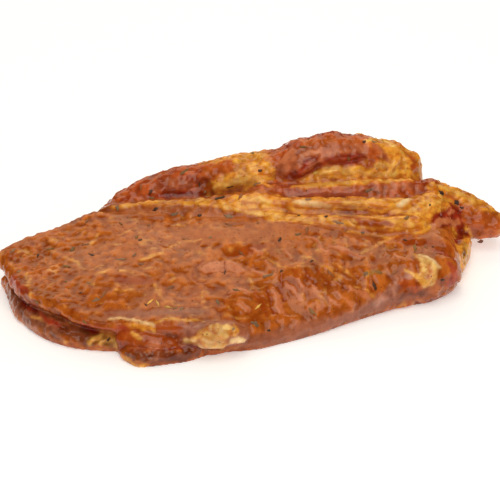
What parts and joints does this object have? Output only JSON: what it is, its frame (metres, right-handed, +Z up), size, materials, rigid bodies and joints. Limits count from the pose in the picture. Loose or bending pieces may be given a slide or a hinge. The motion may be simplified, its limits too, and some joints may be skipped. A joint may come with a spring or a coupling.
{
  "type": "marinated pork cordon bleu",
  "caption": "Raw marinated slice of pork neck cut open as a pocket and laid shut, with a seam of fat, a ridge of muscles along the back and dried herbs on top.",
  "frame": {"origin": "centre of the bounding box at the level of the flat foot", "axes": "+Z up, +X along the slice from its thin left end to the muscle tip at the right, +Y towards the ridge of muscles at the back"},
  "size_m": [0.193, 0.1168, 0.0423],
  "materials": {
    "meat": "raw meat, wet with an orange-brown oily marinade"
  },
  "bodies": {
    "root": {"steak": "meat"}
  },
  "joints": []
}
